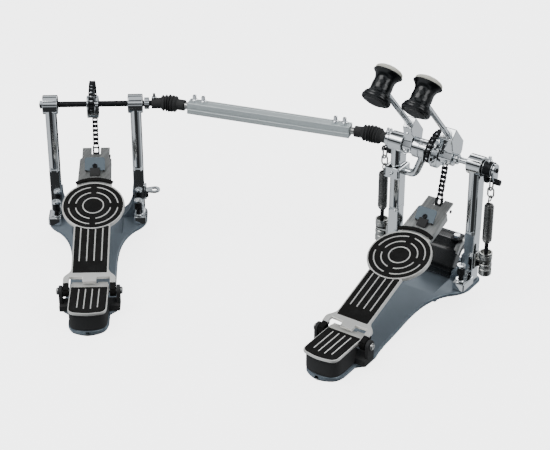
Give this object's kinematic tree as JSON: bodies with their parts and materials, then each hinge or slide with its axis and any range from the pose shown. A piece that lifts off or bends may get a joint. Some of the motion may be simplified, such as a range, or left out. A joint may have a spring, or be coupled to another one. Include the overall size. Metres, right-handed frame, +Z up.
{
  "type": "double bass drum pedal",
  "caption": "Chain-driven double bass drum pedal: main and slave footboards, drive shaft with universal joints, return springs, hoop clamp and a pair of felt beaters.",
  "frame": {"origin": "on the floor, under the middle of the main pedal's axle", "axes": "+X along the main axle, to the player's right; +Y from the player to the drum; +Z up"},
  "size_m": [0.6386, 0.4598, 0.3482],
  "materials": {
    "chrome": "polished",
    "steel": "brushed",
    "dark_steel": "blackened",
    "painted": "satin metallic",
    "board": "satin, with black grip inlays",
    "tube": "anodised",
    "black_plastic": "matte",
    "head": "semi-gloss",
    "felt": "pressed felt",
    "rubber": "matte"
  },
  "bodies": {
    "main_frame": {"main_base_plate": "painted", "main_left_post": "chrome", "main_right_post": "chrome", "main_heel_block": "black_plastic", "main_heel_plate": "board", "main_hinge_pin": "steel", "main_centre_support": "chrome", "main_left_spring_anchor": "dark_steel", "main_right_spring_anchor": "dark_steel"},
    "main_left_spur": {"main_left_spur": "dark_steel"},
    "main_right_spur": {"main_right_spur": "dark_steel"},
    "main_board": {"main_footboard": "board", "main_toe_plate": "steel", "main_toe_stop": "painted"},
    "main_drive": {"main_axle": "dark_steel", "main_sprocket": "chrome", "main_chain_wrap": "dark_steel", "main_chain_roll": "dark_steel", "main_right_cam": "chrome", "main_beater_hub": "chrome"},
    "main_chain": {"main_chain_drop": "dark_steel"},
    "main_beater_stem": {"main_beater_rod": "chrome"},
    "main_beater": {"main_beater_head": "head", "main_beater_felt": "felt"},
    "second_drive": {"second_axle": "dark_steel", "main_left_cam": "chrome", "second_beater_hub": "chrome"},
    "second_beater_stem": {"second_beater_rod": "chrome"},
    "second_beater": {"second_beater_head": "head", "second_beater_felt": "felt"},
    "right_spring": {"main_right_spring_rod": "steel", "main_right_spring": "steel"},
    "right_spring_link": {"main_right_spring_link": "steel"},
    "left_spring": {"main_left_spring_rod": "steel", "main_left_spring": "steel"},
    "left_spring_link": {"main_left_spring_link": "steel"},
    "clamp_screw": {"main_clamp_screw": "chrome"},
    "clamp_jaw": {"main_clamp_jaw": "painted"},
    "main_boot": {"main_joint_boot": "rubber"},
    "shaft": {"drive_tube": "tube", "main_joint_rod": "steel"},
    "slave_boot": {"slave_joint_boot": "rubber"},
    "slave_rod": {"slave_joint_rod": "steel"},
    "slave_frame": {"slave_base_plate": "painted", "slave_left_post": "chrome", "slave_right_post": "chrome", "slave_heel_block": "black_plastic", "slave_heel_plate": "board", "slave_hinge_pin": "steel", "slave_spring_anchor": "dark_steel"},
    "slave_left_spur": {"slave_left_spur": "dark_steel"},
    "slave_right_spur": {"slave_right_spur": "dark_steel"},
    "slave_board": {"slave_footboard": "board", "slave_toe_plate": "steel", "slave_toe_stop": "painted"},
    "slave_drive": {"slave_axle": "dark_steel", "slave_sprocket": "chrome", "slave_chain_wrap": "dark_steel", "slave_chain_roll": "dark_steel"},
    "slave_chain": {"slave_chain_drop": "dark_steel"}
  },
  "joints": [
    {"name": "main_footboard", "type": "hinge", "parent": "main_frame", "child": "main_board", "pos_m": [0, -0.227, 0.032], "axis": [-1, 0, 0], "range_deg": [0, 6.5], "stiffness_Nm_per_rad": 20, "springref_deg": -5.73},
    {"name": "main_axle_turn", "type": "hinge", "parent": "main_frame", "child": "main_drive", "pos_m": [0, 0, 0.2013], "axis": [-1, 0, 0], "range_deg": [0, 49]},
    {"name": "main_chain_unroll", "type": "hinge", "parent": "main_drive", "child": "main_chain", "pos_m": [0, 0.03058, 0.2095], "axis": [1, 0, 0], "range_deg": [0, 57], "deforming": ["main_chain_roll"]},
    {"name": "right_spring_swing", "type": "hinge", "parent": "main_frame", "child": "right_spring", "pos_m": [0.082, 0, 0.062], "axis": [1, 0, 0], "range_deg": [0, 6.6]},
    {"name": "right_spring_stretch", "type": "slide", "parent": "right_spring", "child": "right_spring_link", "axis": [0, 0, 1], "range_m": [0, 0.0053], "deforming": ["main_right_spring"]},
    {"name": "main_beater_height", "type": "slide", "parent": "main_drive", "child": "main_beater_stem", "axis": [0, -0.673, 0.7396], "range_m": [0, 0.025]},
    {"name": "main_beater_turn", "type": "hinge", "parent": "main_beater_stem", "child": "main_beater", "pos_m": [0.0166, 0.0145, 0.21449], "axis": [0, -0.673, 0.7396], "range_deg": [0, 180]},
    {"name": "second_axle_turn", "type": "hinge", "parent": "main_frame", "child": "second_drive", "pos_m": [0, 0, 0.2013], "axis": [-1, 0, 0], "range_deg": [0, 49]},
    {"name": "second_beater_height", "type": "slide", "parent": "second_drive", "child": "second_beater_stem", "axis": [0, -0.673, 0.7396], "range_m": [0, 0.025]},
    {"name": "second_beater_turn", "type": "hinge", "parent": "second_beater_stem", "child": "second_beater", "pos_m": [-0.04205, 0.0145, 0.21449], "axis": [0, -0.673, 0.7396], "range_deg": [0, 180]},
    {"name": "left_spring_swing", "type": "hinge", "parent": "main_frame", "child": "left_spring", "pos_m": [-0.082, 0, 0.062], "axis": [1, 0, 0], "range_deg": [0, 6.6]},
    {"name": "left_spring_stretch", "type": "slide", "parent": "left_spring", "child": "left_spring_link", "axis": [0, 0, 1], "range_m": [0, 0.0053], "deforming": ["main_left_spring"]},
    {"name": "main_left_spur_travel", "type": "slide", "parent": "main_frame", "child": "main_left_spur", "axis": [0, 0, -1], "range_m": [0, 0.006]},
    {"name": "main_right_spur_travel", "type": "slide", "parent": "main_frame", "child": "main_right_spur", "axis": [0, 0, -1], "range_m": [0, 0.006]},
    {"name": "clamp_screw_turn", "type": "hinge", "parent": "main_frame", "child": "clamp_screw", "pos_m": [0.016, 0.04, 0.04], "axis": [0, 0, -1], "range_deg": [0, 1440]},
    {"name": "clamp_jaw_close", "type": "hinge", "parent": "main_frame", "child": "clamp_jaw", "pos_m": [0, 0.015, 0.016], "axis": [-1, 0, 0], "range_deg": [0, 12]},
    {"name": "main_shaft_swing", "type": "hinge", "parent": "main_frame", "child": "main_boot", "pos_m": [-0.1014, 0, 0.2013], "axis": [0, 0, 1], "range_deg": [-12, 12], "deforming": ["main_joint_boot"]},
    {"name": "shaft_turn", "type": "hinge", "parent": "main_boot", "child": "shaft", "pos_m": [-0.1014, 0, 0.2013], "axis": [-0.9638, -0.2666, 0], "range_deg": [0, 49]},
    {"name": "shaft_length", "type": "slide", "parent": "main_boot", "child": "slave_boot", "axis": [-0.9638, -0.2666, 0], "range_m": [-0.005, 0.04]},
    {"name": "slave_rod_turn", "type": "hinge", "parent": "slave_boot", "child": "slave_rod", "pos_m": [-0.1014, 0, 0.2013], "axis": [-0.9638, -0.2666, 0], "range_deg": [0, 49]},
    {"name": "slave_swing", "type": "hinge", "parent": "slave_boot", "child": "slave_frame", "pos_m": [-0.39135, -0.08021, 0.2013], "axis": [0, 0, 1], "range_deg": [-12, 12], "deforming": ["slave_joint_boot"]},
    {"name": "slave_footboard", "type": "hinge", "parent": "slave_frame", "child": "slave_board", "pos_m": [-0.34271, -0.32615, 0.032], "axis": [-0.8059, -0.592, 0], "range_deg": [0, 6.5], "stiffness_Nm_per_rad": 20, "springref_deg": -5.73},
    {"name": "slave_axle_turn", "type": "hinge", "parent": "slave_frame", "child": "slave_drive", "pos_m": [-0.4771, -0.1432, 0.2013], "axis": [-0.8059, -0.592, 0], "range_deg": [0, 49]},
    {"name": "slave_chain_unroll", "type": "hinge", "parent": "slave_drive", "child": "slave_chain", "pos_m": [-0.4952, -0.11856, 0.2095], "axis": [0.8059, 0.592, 0], "range_deg": [0, 57], "deforming": ["slave_chain_roll"]},
    {"name": "slave_left_spur_travel", "type": "slide", "parent": "slave_frame", "child": "slave_left_spur", "axis": [0, 0, -1], "range_m": [0, 0.006]},
    {"name": "slave_right_spur_travel", "type": "slide", "parent": "slave_frame", "child": "slave_right_spur", "axis": [0, 0, -1], "range_m": [0, 0.006]}
  ],
  "couplings": [
    {"joint": "main_axle_turn", "follows": "main_footboard", "ratio": 7.5191},
    {"joint": "main_chain_unroll", "follows": "main_footboard", "ratio": 8.738},
    {"joint": "right_spring_swing", "follows": "main_footboard", "ratio": 0.9877},
    {"joint": "right_spring_stretch", "follows": "main_footboard", "m_per_rad": 0.0454},
    {"joint": "slave_axle_turn", "follows": "slave_footboard", "ratio": 7.5191},
    {"joint": "slave_chain_unroll", "follows": "slave_footboard", "ratio": 8.738},
    {"joint": "slave_rod_turn", "follows": "slave_footboard", "ratio": 7.5191},
    {"joint": "shaft_turn", "follows": "slave_footboard", "ratio": 7.5191},
    {"joint": "second_axle_turn", "follows": "slave_footboard", "ratio": 7.5191},
    {"joint": "left_spring_swing", "follows": "slave_footboard", "ratio": 0.9877},
    {"joint": "left_spring_stretch", "follows": "slave_footboard", "m_per_rad": 0.0454},
    {"joint": "clamp_jaw_close", "follows": "clamp_screw_turn", "ratio": 0.0083333}
  ]
}
